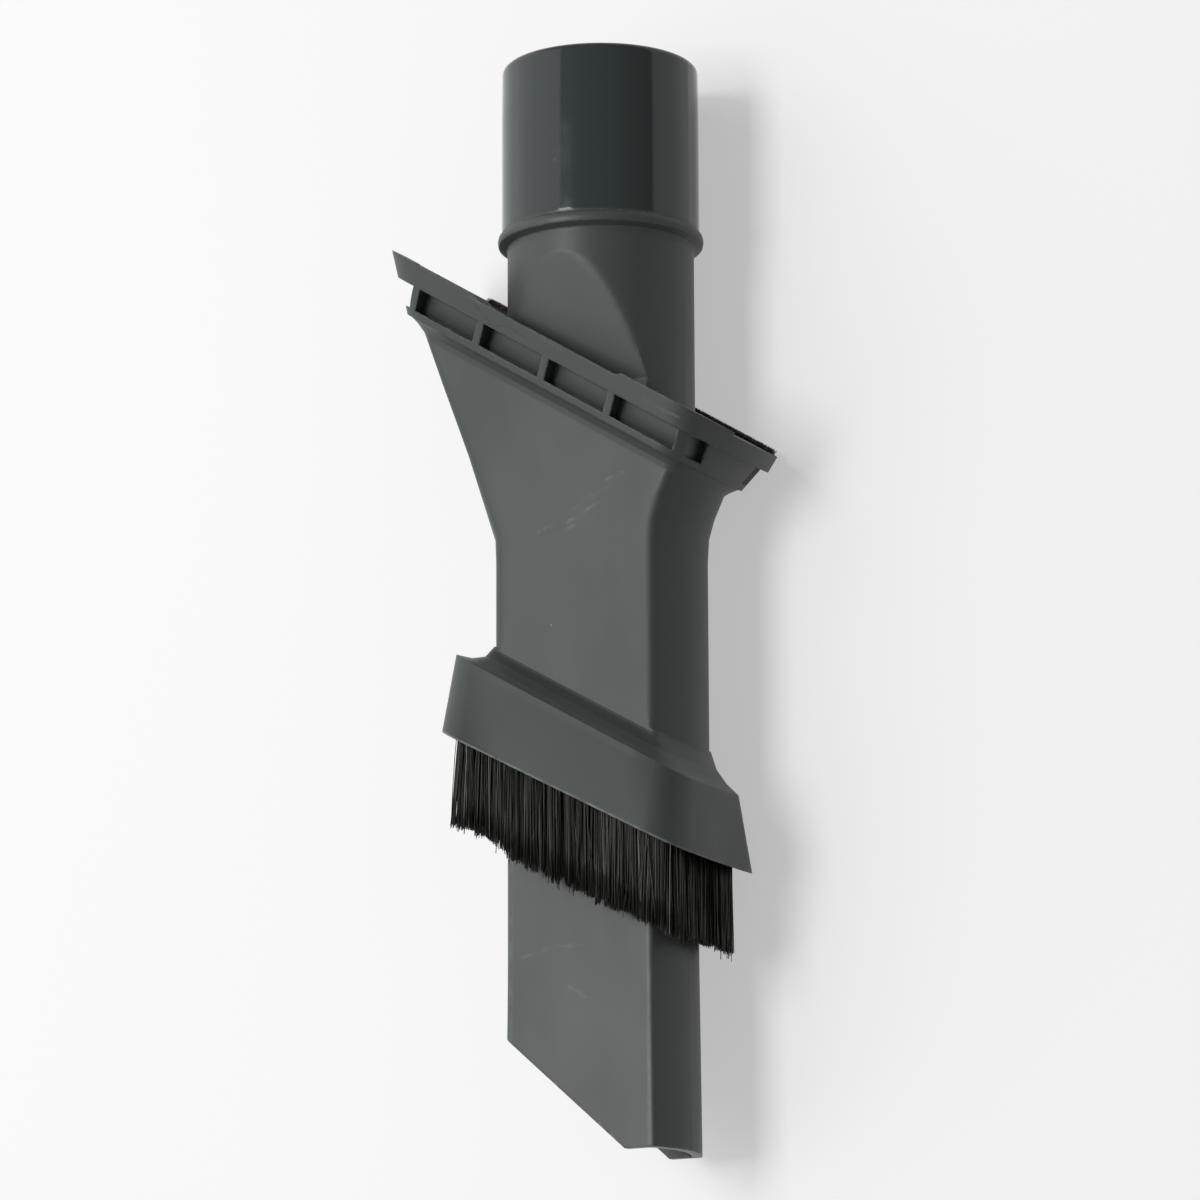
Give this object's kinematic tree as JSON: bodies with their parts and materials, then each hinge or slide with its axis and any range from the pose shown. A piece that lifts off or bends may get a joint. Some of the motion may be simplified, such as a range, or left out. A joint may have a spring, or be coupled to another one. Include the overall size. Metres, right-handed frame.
{
  "type": "vacuum crevice tool",
  "caption": "Flat crevice nozzle with a round tube socket, and a sliding sleeve with an oblique upholstery head and an oblique dusting brush.",
  "frame": {"origin": "centre of the socket's mouth, on the bore's axis", "axes": "+Y out of the socket's mouth along the tool, +X across the broad faces, +Z out of the near broad face"},
  "size_m": [0.0667, 0.197, 0.0387],
  "materials": {
    "nozzle_plastic": "matte blade and neck, polished socket",
    "sleeve_plastic": "matte",
    "brown_pile": "short pile",
    "dark_bristle": "stiff bristle"
  },
  "bodies": {
    "nozzle": {"crevice_nozzle": "nozzle_plastic"},
    "sleeve": {"sleeve": "sleeve_plastic", "lint_strip": "brown_pile", "bristles_near": "dark_bristle", "bristles_far": "dark_bristle", "bristles_left": "dark_bristle", "bristles_right": "dark_bristle"}
  },
  "joints": [
    {"name": "sleeve_slide", "type": "slide", "parent": "nozzle", "child": "sleeve", "axis": [0, -1, 0], "range_m": [0, 0.078]}
  ]
}
